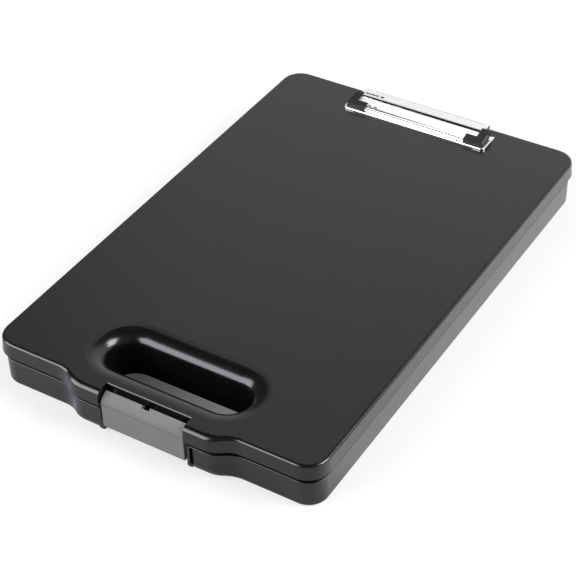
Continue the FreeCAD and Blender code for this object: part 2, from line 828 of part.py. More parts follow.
def coil_point(turn):
    # A point of the spring's coil and the direction there, for a turn in radians.
    along = coil_pitch / (2 * math.pi)
    first = math.radians(coil_start_angle)
    x = coil_start + along * (first - turn)
    point = Vector(x, jaw_y + coil_radius * math.cos(turn), jaw_z + coil_radius * math.sin(turn))
    heading = Vector(along, coil_radius * math.sin(turn), -coil_radius * math.cos(turn))
    return point, heading.normalize()


def middle_of_arc(start, knee, end):
    # The middle point of the arc that touches both legs of a bend with equal legs.
    chord = (end - start) * 0.5
    base = start + chord
    rise = knee - base
    half_turn = math.atan2(rise.Length, chord.Length)
    return base + rise * (math.tan(half_turn / 2) / math.tan(half_turn))


def two_arcs(start, start_way, end, end_way):
    # Two arcs that run smoothly from one point and direction to another.
    gap = end - start
    ways = start_way + end_way
    bend = 1 - start_way.dot(end_way)
    lean = gap.dot(ways)
    reach = (math.sqrt(lean * lean + 2 * bend * gap.dot(gap)) - lean) / (2 * bend)
    knee = start + start_way * reach
    second_knee = end - end_way * reach
    joint = (knee + second_knee) * 0.5
    return [
        Part.Arc(start, middle_of_arc(start, knee, joint), joint).toShape(),
        Part.Arc(joint, middle_of_arc(joint, second_knee, end), end).toShape(),
    ]


def clip_spring():
    # The right torsion spring: a leg on the plate, the coil round the rod, a leg under the lever.
    first = math.radians(coil_start_angle)
    last = math.radians(coil_end_angle) - 2 * math.pi * coil_turns
    count = math.ceil((first - last) / (math.pi / 2))
    turns = [first + (last - first) * index / count for index in range(count + 1)]
    start, way = coil_point(turns[0])
    tail = start - way * low_leg_length
    edges = [Part.makeLine(tail, start)]
    for turn, following in zip(turns, turns[1:]):
        point, heading = coil_point(turn)
        next_point, next_heading = coil_point(following)
        edges += two_arcs(point, heading, next_point, next_heading)
    end, end_way = coil_point(turns[-1])
    edges.append(Part.makeLine(end, end + end_way * high_leg_length))
    path = Part.Wire(edges)
    circle = Part.Wire(Part.Circle(tail, way, wire_radius).toShape())
    print("spring gap between turns", round(coil_gap(path), 3), "mm")
    return path.makePipeShell([circle], True, False)


def coil_gap(path):
    # The least gap of the wire to itself, measured on points along its path.
    points = path.discretize(Number=coil_turns * gap_points_per_turn)
    nearest = coil_pitch
    apart = int(len(points) / coil_turns / 2)
    for index, point in enumerate(points):
        for other in points[index + apart:]:
            nearest = min(nearest, point.distanceToPoint(other))
    return nearest - 2 * wire_radius


def pieces():
    # Every piece of the box under its own name.
    jaw = clip_jaw()
    pad = clip_pad(jaw)
    spring = clip_spring()
    return {
        "base_tray": base_tray(),
        "lid_shell": lid_shell(),
        "hinge_pin_left": hinge_pin(-hinge_offset),
        "hinge_pin_right": hinge_pin(hinge_offset),
        "latch_plate": latch_plate(),
        "latch_pin": latch_pin(),
        "clip_base_plate": clip_base_plate(),
        "clip_jaw": jaw,
        "clip_pad_left": mirrored(pad),
        "clip_pad_right": pad,
        "clip_hinge_rod": clip_hinge_rod(),
        "clip_spring_left": mirrored(spring),
        "clip_spring_right": spring,
        "clip_rivet_left": clip_rivet(-rivet_offset),
        "clip_rivet_right": clip_rivet(rivet_offset),
        "rivet_washer_left": rivet_washer(-rivet_offset),
        "rivet_washer_right": rivet_washer(rivet_offset),
    }


os.makedirs("parts", exist_ok=True)
for name, shape in pieces().items():
    if len(shape.Solids) == 1:
        shape = shape.Solids[0]
    shape.exportStep("parts/" + name + ".step")
    print(name, "solids", len(shape.Solids), "valid", shape.isValid(), "volume", round(shape.Volume))
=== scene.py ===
import math

import bmesh
import bpy
import numpy as np
from mathutils import Matrix, Vector


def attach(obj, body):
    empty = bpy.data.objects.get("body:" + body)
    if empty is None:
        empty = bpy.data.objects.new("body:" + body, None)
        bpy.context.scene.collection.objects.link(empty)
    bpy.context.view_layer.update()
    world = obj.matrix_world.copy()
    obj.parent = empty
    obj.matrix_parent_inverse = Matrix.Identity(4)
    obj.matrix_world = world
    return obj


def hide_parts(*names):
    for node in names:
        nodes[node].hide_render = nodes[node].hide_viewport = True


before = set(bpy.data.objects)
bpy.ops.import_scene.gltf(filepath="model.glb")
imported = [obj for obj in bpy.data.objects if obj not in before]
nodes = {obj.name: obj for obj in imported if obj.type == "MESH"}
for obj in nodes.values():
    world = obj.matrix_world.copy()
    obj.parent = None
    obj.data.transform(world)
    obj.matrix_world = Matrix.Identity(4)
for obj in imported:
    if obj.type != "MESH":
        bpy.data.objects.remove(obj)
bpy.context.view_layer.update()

millimetre = 0.001


# Node graphs

def newMaterial(name):
    # A material with its nodes, links and shader
    material = bpy.data.materials.new(name)
    material.use_nodes = True
    tree = material.node_tree
    return material, tree.nodes, tree.links, tree.nodes["Principled BSDF"]


def addNode(tree, kind, **settings):
    # A node with its settings, those that begin with in_ being its inputs
    node = tree.new(kind)
    for key, value in settings.items():
        if key.startswith("in_"):
            node.inputs[key[3:].replace("_", " ")].default_value = value
        else:
            setattr(node, key, value)
    return node


def noiseOn(tree, links, scale, detail=3.0, roughness=0.5, stretch=(1, 1, 1)):
    # Noise on Object coordinates, drawn out along an axis whose stretch is small
    coordinates = addNode(tree, "ShaderNodeTexCoord")
    mapping = addNode(tree, "ShaderNodeMapping", in_Scale=stretch)
    noise = addNode(tree, "ShaderNodeTexNoise", in_Scale=scale, in_Detail=detail, in_Roughness=roughness)
    links.new(coordinates.outputs["Object"], mapping.inputs["Vector"])
    links.new(mapping.outputs["Vector"], noise.inputs["Vector"])
    return noise.outputs["Fac"]


def spread(tree, links, source, low, high):
    # A value from 0 to 1 stretched to run from low to high
    mapRange = addNode(tree, "ShaderNodeMapRange", in_To_Min=low, in_To_Max=high)
    links.new(source, mapRange.inputs["Value"])
    return mapRange.outputs["Result"]


toneSpan = (0.3, 0.7)  # noise below and above it takes the dark and the light tone


def tones(tree, links, source, dark, light):
    # A colour between two tones
    ramp = addNode(tree, "ShaderNodeValToRGB")
    ends = ramp.color_ramp.elements
    ends[0].position, ends[1].position = toneSpan
    ends[0].color, ends[1].color = (*dark, 1), (*light, 1)
    links.new(source, ramp.inputs["Fac"])
    return ramp.outputs["Color"]


def combine(tree, links, operation, *sources):
    # Two or three values, sockets or numbers, put together
    node = addNode(tree, "ShaderNodeMath", operation=operation)
    for socket, source in zip(node.inputs, sources):
        if isinstance(source, (int, float)):
            socket.default_value = source
        else:
            links.new(source, socket)
    return node.outputs[0]


def bump(tree, links, shader, source, distance, strength):
    # A height of at most distance, in metres, that tilts the shading
    node = addNode(tree, "ShaderNodeBump", in_Distance=distance, in_Strength=strength)
    links.new(source, node.inputs["Height"])
    links.new(node.outputs["Normal"], shader.inputs["Normal"])


plastic = {
    "lid": dict(dark=(0.0024, 0.0024, 0.0025), light=(0.0036, 0.0036, 0.0038), roughness=(0.20, 0.24)),
    "tray": dict(dark=(0.0024, 0.0024, 0.0028), light=(0.0036, 0.0036, 0.0041), roughness=(0.24, 0.28)),
    "latch": dict(dark=(0.119, 0.119, 0.116), light=(0.129, 0.129, 0.126), roughness=(0.84, 0.92)),
    "pad": dict(dark=(0.004, 0.004, 0.004), light=(0.006, 0.006, 0.006), roughness=(0.24, 0.32)),
}
# Noise scales, and lengths in metres
grain = dict(cloud=60.0, cloudDetail=4.0, fine=2600.0, fineDetail=2.0, depth=0.00003, strength=0.2, ior=1.5)
ribs = dict(pitch=0.9, depth=0.0002, grainShare=0.3)  # the pitch is in millimetres


def mouldedPlastic(name, look, ribbed=False):
    # Cloudy tone and gloss with a fine grain, and ribs across the latch
    material, tree, links, shader = newMaterial(name)
    cloud = noiseOn(tree, links, grain["cloud"], grain["cloudDetail"])
    fine = noiseOn(tree, links, grain["fine"], grain["fineDetail"])
    links.new(tones(tree, links, cloud, look["dark"], look["light"]), shader.inputs["Base Color"])
    links.new(spread(tree, links, cloud, *look["roughness"]), shader.inputs["Roughness"])
    height, depth = fine, grain["depth"]
    if ribbed:
        # Fine ribs one above the other: a wave of scale s has a period of 2 pi / (20 s)
        wave = addNode(tree, "ShaderNodeTexWave", bands_direction="Z",
                       in_Scale=2 * math.pi / (20 * ribs["pitch"] * millimetre))
        links.new(addNode(tree, "ShaderNodeTexCoord").outputs["Object"], wave.inputs["Vector"])
        height = combine(tree, links, "MULTIPLY_ADD", fine, ribs["grainShare"], wave.outputs["Fac"])
        depth = ribs["depth"]
    bump(tree, links, shader, height, depth, grain["strength"])
    shader.inputs["IOR"].default_value = grain["ior"]
    return material


plating = {
    "chrome": dict(dark=(0.94, 0.94, 0.94), light=(0.98, 0.98, 0.98), roughness=(0.05, 0.10),
                   brush=900.0, depth=0.00001),
    "steel": dict(dark=(0.56, 0.56, 0.57), light=(0.66, 0.66, 0.66), roughness=(0.20, 0.30),
                  brush=1400.0, depth=0.00002),
    # painted shade: near-black metal for the faces inside the jaw's arch and roll
    "paintedShadeMetal": dict(dark=(0.03, 0.03, 0.03), light=(0.06, 0.06, 0.06), roughness=(0.5, 0.6),
                     brush=1400.0, depth=0.00002),
}
brushing = dict(cloud=120.0, cloudDetail=3.0, detail=2.0, stretch=(0.02, 1, 1), strength=0.15)


def metal(name, look):
    # Plated or bare sheet with fine lines along X, and also the near-black metal that paints the shade inside the
    # jaw
    material, tree, links, shader = newMaterial(name)
    cloud = noiseOn(tree, links, brushing["cloud"], brushing["cloudDetail"])
    brush = noiseOn(tree, links, look["brush"], brushing["detail"], stretch=brushing["stretch"])
    links.new(tones(tree, links, cloud, look["dark"], look["light"]), shader.inputs["Base Color"])
    links.new(spread(tree, links, brush, *look["roughness"]), shader.inputs["Roughness"])
    bump(tree, links, shader, brush, look["depth"], brushing["strength"])
    shader.inputs["Metallic"].default_value = 1.0
    return material


lidPlastic = mouldedPlastic("lidPlastic", plastic["lid"])
trayPlastic = mouldedPlastic("trayPlastic", plastic["tray"])
latchPlastic = mouldedPlastic("latchPlastic", plastic["latch"], ribbed=True)
padPlastic = mouldedPlastic("padPlastic", plastic["pad"])
chrome = metal("chrome", plating["chrome"])
steel = metal("steel", plating["steel"])
paintedShadeMetal = metal("paintedShadeMetal", plating["paintedShadeMetal"])

finishes = {
    "base_tray": trayPlastic, "lid_shell": lidPlastic, "latch_plate": latchPlastic,
    "clip_pad_left": padPlastic, "clip_pad_right": padPlastic,
    "clip_base_plate": chrome, "clip_jaw": chrome,
}
for name, node in nodes.items():
    node.data.materials.clear()
    node.data.materials.append(finishes.get(name, steel))
print("materials set")


# Meshes, with lengths in millimetres until they are put into Blender

finish = dict(mergeWithin=1e-7, sharpAngle=40.0)  # metres and degrees


def addPiece(name, points, faces, material, body, replaced):
    # Doubles are merged and faces turned outwards before the shading is set
    mesh = bpy.data.meshes.new(name)
    mesh.from_pydata((points * millimetre).tolist(), [], faces)
    mesh.materials.append(material)
    shell = bmesh.new()
    shell.from_mesh(mesh)
    bmesh.ops.remove_doubles(shell, verts=shell.verts, dist=finish["mergeWithin"])
    bmesh.ops.recalc_face_normals(shell, faces=shell.faces)
    shell.to_mesh(mesh)
    shell.free()
    mesh.shade_smooth()
    mesh.set_sharp_from_angle(angle=math.radians(finish["sharpAngle"]))
    piece = bpy.data.objects.new(name, mesh)
    bpy.context.scene.collection.objects.link(piece)
    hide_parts(*replaced)
    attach(piece, body)
    return piece


def joinShells(shells):
    # One list of points and faces from several shells
    points, faces, first = [], [], 0
    for shellPoints, shellFaces in shells:
        points.append(shellPoints)
        faces += [[first + index for index in face] for face in shellFaces]
        first += len(shellPoints)
    return np.concatenate(points), faces


def fillRuns(line, longest):
    # The same line with its long straight runs divided evenly
    lengths = np.linalg.norm(np.diff(line, axis=0), axis=1)
    counts = np.maximum(1, np.ceil(lengths / longest).astype(int))
    index = np.repeat(np.arange(len(counts)), counts)
    shares = np.concatenate([np.arange(count) / count for count in counts])
    filled = line[index] + (line[index + 1] - line[index]) * shares[:, None]
    return np.concatenate([filled, line[-1:]])


def bend(before, corner, after, radius, count=10):
    # The arc that rounds a corner: both runs are cut back by radius times tan(half the turn)
    before, corner, after = (np.asarray(point, float) for point in (before, corner, after))
    into = (corner - before) / np.linalg.norm(corner - before)
    out = (after - corner) / np.linalg.norm(after - corner)
    turn = math.atan2(into[0] * out[1] - into[1] * out[0], into @ out)
    spoke = -radius * np.sign(turn) * np.array([-into[1], into[0]])
    centre = corner - into * radius * math.tan(abs(turn) / 2) - spoke
    return centre + turned(spoke, np.linspace(0, turn, count))


def turned(spoke, angles):
    # A spoke (a, b) turned by each angle t: (a cos t - b sin t, a sin t + b cos t)
    cosines, sines = np.cos(angles), np.sin(angles)
    return np.stack([spoke[0] * cosines - spoke[1] * sines, spoke[0] * sines + spoke[1] * cosines], -1)


def leftNormals(line):
    # Unit normals to the left of a line: its direction (a, b) turned to (-b, a)
    along = np.gradient(line, axis=0)
    along /= np.linalg.norm(along, axis=1)[:, None]
    return np.stack([-along[:, 1], along[:, 0]], -1)


def sheetShell(line, x, borders, thickness, edge, raised, kept):
    # A sheet whose upper side is a line in Y and Z carried along X. Its middle surface stands off by raised, and
    # near a border its half thickness shrinks as a quarter circle: t/2 - r + sqrt(r^2 - (r - d)^2) at distance d
    normals = leftNormals(line)
    middle = line - normals * thickness / 2
    depth = np.clip(edge - borders, 0, edge)
    swell = thickness / 2 - edge + np.sqrt(edge ** 2 - depth ** 2)
    sides = []
    for sign in (1, -1):
        offset = raised + sign * swell
        sides.append(np.stack([x, middle[:, :1] + normals[:, :1] * offset,
                               middle[:, 1:] + normals[:, 1:] * offset], -1).reshape(-1, 3))
    columns, count = x.shape[1], x.size
    row, column = np.nonzero(kept)
    first = row * columns + column
    top = np.stack([first, first + columns, first + columns + 1, first + 1], -1)
    padded = np.pad(kept, 1)
    row, column = np.nonzero(padded[1:-1, 1:] != padded[1:-1, :-1])
    start = row * columns + column
    ends = [np.stack([start, start + columns, start + columns + count, start + count], -1)]
    row, column = np.nonzero(padded[1:, 1:-1] != padded[:-1, 1:-1])
    start = row * columns + column
    ends.append(np.stack([start, start + 1, start + 1 + count, start + count], -1))
    faces = np.concatenate([top, top[:, ::-1] + count] + ends)
    return np.concatenate(sides), faces.tolist()


def prismShell(outline, x, shrinks):
    # A closed outline in Y and Z carried along X, drawn in by a distance at each place along X
    normals = leftNormals(np.concatenate([outline[-1:], outline, outline[:1]]))[1:-1]
    rings = [np.column_stack([np.full(len(outline), place), outline + normals * shrink])
             for place, shrink in zip(x, shrinks)]
    return ringShell(np.stack(rings))


def ringShell(rings):
    # Closed rings joined one to the next, with the first and last one filled
    rows, columns = rings.shape[:2]
    row, column = np.meshgrid(np.arange(rows - 1), np.arange(columns), indexing="ij")
    after = (column + 1) % columns
    sides = np.stack([row * columns + column, row * columns + after,
                      (row + 1) * columns + after, (row + 1) * columns + column], -1).reshape(-1, 4)
    caps = [list(range(columns)), list(range((rows - 1) * columns, rows * columns))]
    return rings.reshape(-1, 3), sides.tolist() + caps


# Clip jaw: one bent sheet, seen from the side as a line in Y and Z from the pivot

jaw = dict(
    sheet=0.5, edge=0.2,  # the sheet's thickness and the rounding of its edges
    lipY=-13.6, lipLow=-2.95, bendHeight=-1.0, lipRadius=1.3,  # front lip
    arch=3.0, archFront=145.0, archPoints=28, archSkipped=4, creaseRadius=0.45,  # arch, and crease in front of it
    leverAngle=91.0, leverEnd=(7.5, 3.25), roll=1.95, rollTurn=325.0, rollPoints=56,  # lever and rolled end
    plateHalf=57.0, leverHalf=53.0,  # half widths
    slitY=(1.2, 3.0), slitUnder=0.1, slits=((-49.5, -38.5), (-36.8, -33.8)),  # narrow slits in the lever
    grooveY=6.9, grooveWidth=0.22, grooveDepth=0.10, grooveHalf=50.0, grooveRows=(-2, 2, 11),  # lever's groove
    beadY=-11.6, beadWidth=1.1, beadRise=0.045, beadHalf=46.0, beadFade=2.5, beadRows=(-1.4, 2.4, 12),
    dimples=((-40.6, -9.3), (-35.4, -9.5)), dimpleRadius=(0.85, 0.3), dimpleDepth=0.14,
    dimpleRows=(-10.6, -8.1), dimpleColumns=(-42.6, -33.4), dimpleGap=0.2, leastGap=0.05,
    rowGap=0.7, columnGap=4.0, columnReach=48.0, borders=(0, 0.03, 0.1, 0.2, 0.3, 0.8, 2.0),  # the grid
    earInset=0.45, earThick=0.9, earUnder=0.05, earPoints=48,  # discs that close the arch's ends
    earPlaces=(-0.5, -0.45, -0.35, 0.35, 0.45, 0.5), earShrink=(0.18, 0.06, 0, 0, 0.06, 0.18),
    paintedShadeHalf=51.5, rollInside=0.7,  # how far the painted shade inside the arch and the roll reaches
)


def jawLine():
    # Lip, front plate, crease, arch, lever and roll
    lip = (jaw["lipY"], jaw["lipLow"])
    knee = (jaw["lipY"], jaw["bendHeight"])
    angles = np.radians(np.linspace(jaw["archFront"], jaw["leverAngle"], jaw["archPoints"]))
    arch = jaw["arch"] * turned((1, 0), angles)
    front = [lip, *bend(lip, knee, arch[0], jaw["lipRadius"])]
    # Close rows where the bead and the dimples are
    marks = np.concatenate([jaw["beadY"] + jaw["beadWidth"] * np.linspace(*jaw["beadRows"]),
                            np.arange(*jaw["dimpleRows"], jaw["dimpleGap"])])
    ends = np.array([front[-1], arch[0]])
    start = front[-1][0] + jaw["leastGap"]
    front += [(place, np.interp(place, *ends.T)) for place in np.sort(marks) if place > start]
    crease = bend(knee, arch[0], arch[jaw["archSkipped"]], jaw["creaseRadius"])
    tip = np.array(jaw["leverEnd"])
    rise = math.atan2(tip[1] - arch[-1][1], tip[0] - arch[-1][0])
    grooveMarks = jaw["grooveY"] + jaw["grooveWidth"] * np.linspace(*jaw["grooveRows"])
    across = [(place, np.interp(place, *zip(arch[-1], tip))) for place in (*jaw["slitY"], *grooveMarks)]
    spoke = jaw["roll"] * np.array([-math.sin(rise), math.cos(rise)])
    axis = tip - spoke
    roll = axis + turned(spoke, -np.radians(np.linspace(0, jaw["rollTurn"], jaw["rollPoints"])))
    meet = len(fillRuns(np.array([*front, crease[0]]), jaw["rowGap"])) + len(crease) // 2
    line = np.concatenate([front, crease, arch[jaw["archSkipped"] + 1:], across, roll])
    return fillRuns(line, jaw["rowGap"]), meet, axis


def jawColumns(half):
    # Places along X: close together near the edges, round the slits and at the stamped marks
    reach, gap = jaw["columnReach"], jaw["columnGap"]
    slitEnds = np.ravel(jaw["slits"])
    marks = np.arange(*jaw["dimpleColumns"], jaw["dimpleGap"])
    fixed = np.concatenate([np.arange(-reach, reach + gap / 2, gap), slitEnds, -slitEnds, marks])
    fixed = np.unique(np.round(fixed, 3))
    side = half[:, None] - np.array(jaw["borders"])
    return np.concatenate([-side, np.tile(fixed, (len(half), 1)), side[:, ::-1]], axis=1)


def makeJaw():
    # The bead and the groove stand off by height times exp(-((y - middle) / width)^2), and a dimple is the same
    # round a ring: depth times exp(-((distance - radius) / width)^2)
    line, meet, rollAxis = jawLine()
    rows = np.arange(len(line))
    half = np.where(rows < meet, jaw["plateHalf"], jaw["leverHalf"])
    x = jawColumns(half)
    lengths = np.concatenate([[0], np.cumsum(np.linalg.norm(np.diff(line, axis=0), axis=1))])
    ends = np.minimum(lengths, lengths[-1] - lengths)
    borders = np.minimum(ends[:, None], half[:, None] - np.abs(x))
    y = line[:, :1]
    onPlate = rows[:, None] < meet
    fade = np.clip((jaw["beadHalf"] - np.abs(x)) / jaw["beadFade"], 0, 1)
    raised = jaw["beadRise"] * np.exp(-((y - jaw["beadY"]) / jaw["beadWidth"]) ** 2) * fade * onPlate
    onLever = (line[:, 1:] > jaw["arch"]) & (np.abs(x) < jaw["grooveHalf"])
    raised = raised - jaw["grooveDepth"] * np.exp(-((y - jaw["grooveY"]) / jaw["grooveWidth"]) ** 2) * onLever
    for place in jaw["dimples"]:
        reach = np.hypot(x - place[0], y - place[1])
        ring = np.exp(-((reach - jaw["dimpleRadius"][0]) / jaw["dimpleRadius"][1]) ** 2)
        raised = raised - jaw["dimpleDepth"] * ring * onPlate
    middleY, middleX = (line[:-1, 0] + line[1:, 0]) / 2, (x[:-1, :-1] + x[:-1, 1:]) / 2
    slitFront, slitBack = jaw["slitY"]
    inBand = (middleY > slitFront) & (middleY < slitBack) & (line[:-1, 1] > jaw["arch"] - jaw["slitUnder"])
    inSlit = np.any([(middleX > low) & (middleX < high) for low, high in jaw["slits"]], axis=0)
    sheet = sheetShell(line, x, borders, jaw["sheet"], jaw["edge"], raised, ~(inBand[:, None] & inSlit))
    shells = [sheet]
    for side in (-1, 1):
        shells.append(earShell(side * (jaw["leverHalf"] - jaw["earInset"])))
    points, faces = joinShells(shells)
    points = points + (0, *pivot)
    piece = addPiece("clipJaw", points, faces, chrome, "jaw", ["clip_jaw"])
    # Painted shade: near-black metal on the faces inside the arch and inside the roll
    piece.data.materials.append(paintedShadeMetal)
    centres = np.empty(3 * len(piece.data.polygons))
    piece.data.polygons.foreach_get("center", centres)
    x, y, z = (centres.reshape(-1, 3) / millimetre - (0, *pivot)).T
    inArch = (np.hypot(y, z) < jaw["arch"] - jaw["sheet"] / 2) & (np.abs(x) < jaw["paintedShadeHalf"])
    inRoll = np.hypot(y - rollAxis[0], z - rollAxis[1]) < jaw["roll"] - jaw["sheet"] * jaw["rollInside"]
    piece.data.polygons.foreach_set("material_index", (inArch | inRoll).astype(np.int32))


def earShell(x):
    # A disc round the pivot with rounded edges, just under the arch
    around = turned((1, 0), np.linspace(0, 2 * math.pi, jaw["earPoints"], endpoint=False))
    places = x + jaw["earThick"] * np.array(jaw["earPlaces"])
    shrink = jaw["earThick"] * np.array(jaw["earShrink"])
    return prismShell((jaw["arch"] - jaw["earUnder"]) * around, places, shrink)


# Clip plate with its folded rim, and the two ears that carry the rod

plate = dict(
    half=60.0, front=162.5, back=182.0, low=36.0, top=37.0, ease=0.1,  # flat part, with its edges eased
    corner=3.0, cornerPoints=14, backCorner=0.5, backCornerPoints=6,
    bead=0.95, beadTop=37.9, beadGroove=0.18, beadGrooveWidth=0.26, beadGap=6.0,  # folded rim
    beadCornerPoints=16, beadEndPoints=9, beadOverPoints=41, beadLeast=0.02,
    ears=49.1, earThick=1.0, earRadius=1.95, earPoints=25, earFoot=0.5,  # rod's carriers
    earPlaces=(-0.5, -0.42, 0.42, 0.5), earShrink=(0.08, 0, 0, 0.08),
)
pivot = (178.2, 40.4)  # the rod's Y and Z


def arcPoints(centre, radius, start, stop, count):
    # Points on an arc: the centre plus radius times (cos t, sin t)
    angles = np.radians(np.linspace(start, stop, count))
    return np.asarray(centre) + radius * np.stack([np.cos(angles), np.sin(angles)], -1)


def plateOutline(inset):
    # The plate in plan, drawn in by an equal distance all round
    half, front, back = plate["half"], plate["front"], plate["back"]
    corner, backCorner = plate["corner"], plate["backCorner"]
    near, far = front + corner, back - backCorner
    few, many = plate["backCornerPoints"], plate["cornerPoints"]
    return np.concatenate([
        arcPoints((half - backCorner, far), backCorner - inset, 0, 90, few),
        arcPoints((backCorner - half, far), backCorner - inset, 90, 180, few),
        arcPoints((corner - half, near), corner - inset, 180, 270, many),
        arcPoints((half - corner, near), corner - inset, 270, 360, many),
    ])


def beadShell():
    # The rim's section, a half round on two straight sides with a groove along its top, carried along the
    # plate's two sides and front. Near its ends it shrinks as a quarter circle, so both ends are round
    radius = plate["bead"]
    half, corner = plate["half"], plate["corner"]
    near, back = plate["front"] + corner, plate["back"]
    count = plate["beadCornerPoints"]
    line = np.concatenate([
        [(radius - half, back)], arcPoints((corner - half, near), corner - radius, 180, 270, count),
        arcPoints((half - corner, near), corner - radius, 270, 360, count), [(half - radius, back)],
    ])
    line = fillRuns(line, plate["beadGap"])
    start = back - radius * (1 - np.sin(np.radians(np.linspace(0, 90, plate["beadEndPoints"])[1:-1])))
    tail = np.column_stack([np.full(len(start), radius - half), start[::-1]])
    line = np.concatenate([line[:1], tail, line[1:-1], (tail * (-1, 1))[::-1], line[-1:]])
    lengths = np.concatenate([[0], np.cumsum(np.linalg.norm(np.diff(line, axis=0), axis=1))])
    ends = np.minimum(lengths, lengths[-1] - lengths)
    scale = np.sqrt(1 - (1 - np.clip(ends / radius, plate["beadLeast"], 1)) ** 2)
    normals = leftNormals(line)
    turns = np.radians(np.linspace(0, 180, plate["beadOverPoints"]))
    groove = plate["beadGroove"] / radius * np.exp(-(radius * np.cos(turns) / plate["beadGrooveWidth"]) ** 2)
    outwards = np.concatenate([[1], np.cos(turns), [-1]])
    upwards = np.concatenate([[0], np.sin(turns) - groove, [0]])
    onTop = np.concatenate([[0], np.ones(len(turns)), [0]])
    springing = plate["beadTop"] - radius
    z = plate["low"] + (springing - plate["low"]) * onTop + radius * scale[:, None] * upwards
    flat = line[:, None, :] + normals[:, None, :] * (radius * scale[:, None] * outwards)[..., None]
    return ringShell(np.concatenate([flat, z[..., None]], -1))


def makePlate():
    # The flat plate is its outline at four heights, drawn in at the lowest and the highest
    low, top, eased = plate["low"], plate["top"], plate["ease"]
    levels = ((low, eased), (low + eased, 0), (top - eased, 0), (top, eased))
    rings = [np.pad(plateOutline(inset), ((0, 0), (0, 1)), constant_values=z) for z, inset in levels]
    shells = [ringShell(np.stack(rings)), beadShell()]
    radius, foot = plate["earRadius"], low + plate["earFoot"] - pivot[1]
    over = arcPoints((0, 0), radius, 0, 180, plate["earPoints"])
    outline = np.concatenate([over, [(-radius, foot), (radius, foot)]])
    for side in (-1, 1):
        places = side * plate["ears"] + plate["earThick"] * np.array(plate["earPlaces"])
        points, faces = prismShell(outline, places, np.array(plate["earShrink"]))
        shells.append((points + (0, *pivot), faces))
    points, faces = joinShells(shells)
    addPiece("clipPlate", points, faces, chrome, "lid", ["clip_base_plate"])


makeJaw()
makePlate()


pads = dict(names=("clip_pad_left", "clip_pad_right"), rounding=0.3, segments=3, sharpFrom=35.0, mergeWithin=1e-6)


def softenEdges(node):
    # Rounds a node's edges; its loose triangles are joined first
    weld = node.modifiers.new("weld", "WELD")
    weld.merge_threshold = pads["mergeWithin"]
    bevel = node.modifiers.new("bevel", "BEVEL")
    bevel.width = pads["rounding"] * millimetre
    bevel.segments = pads["segments"]
    bevel.limit_method = "ANGLE"
    bevel.angle_limit = math.radians(pads["sharpFrom"])
    bevel.harden_normals = True


for name in pads["names"]:
    softenEdges(nodes[name])
print("clip made")


# Camera, floor and lights

view = dict(
    place=(0.48863, -0.78324, 0.74918), azimuth=32.56, elevation=39.184, roll=-1.739,
    lens=105.14, sensor=36.0, nearest=0.01,
)


def towards(azimuth, elevation):
    # The direction from the object to a place at an azimuth and elevation in degrees
    turn, rise = math.radians(azimuth), math.radians(elevation)
    return Vector((math.sin(turn) * math.cos(rise), -math.cos(turn) * math.cos(rise), math.sin(rise)))


def makeCamera():
    # It looks along its azimuth and elevation, and then rolls about that line
    data = bpy.data.cameras.new("camera")
    data.lens = view["lens"]
    data.sensor_width = view["sensor"]
    data.clip_start = view["nearest"]
    camera = bpy.data.objects.new("camera", data)
    back = towards(view["azimuth"], view["elevation"])
    right = towards(view["azimuth"] + 90, 0)
    up = back.cross(right)
    roll = math.radians(view["roll"])
    tiltedRight = math.cos(roll) * right + math.sin(roll) * up
    tiltedUp = math.cos(roll) * up - math.sin(roll) * right
    axes = Matrix((tiltedRight, tiltedUp, back)).transposed().to_4x4()
    camera.matrix_world = Matrix.Translation(view["place"]) @ axes
    bpy.context.scene.collection.objects.link(camera)
    bpy.context.scene.camera = camera


# Each lamp is a panel that fills an angle each way, as bright as glow, where white paper is 1
lamps = {
    "frontWindow": dict(azimuth=-40.0, elevation=19.0, wide=52.0, high=48.0, glow=7.6, tint=(0.95, 0.94, 1.0)),
    "sideWindow": dict(azimuth=108.0, elevation=40.0, wide=32.0, high=34.0, glow=13.0, tint=(1, 1, 1)),
    "topPanel": dict(azimuth=-141.0, elevation=56.7, wide=22.0, high=8.0, glow=1.15, tint=(1, 1, 1)),
}
lampDistance = 3.0


def makeLamp(name, lamp):
    data = bpy.data.lights.new(name, "AREA")
    data.shape = "RECTANGLE"
    data.size = 2 * lampDistance * math.tan(math.radians(lamp["wide"] / 2))
    data.size_y = 2 * lampDistance * math.tan(math.radians(lamp["high"] / 2))
    data.energy = lamp["glow"] * math.pi * data.size * data.size_y  # watts: glow times pi times the area
    data.color = lamp["tint"]
    light = bpy.data.objects.new(name, data)
    direction = towards(lamp["azimuth"], lamp["elevation"])
    light.location = direction * lampDistance
    light.rotation_mode = "QUATERNION"
    light.rotation_quaternion = direction.to_track_quat("Z", "Y")
    bpy.context.scene.collection.objects.link(light)


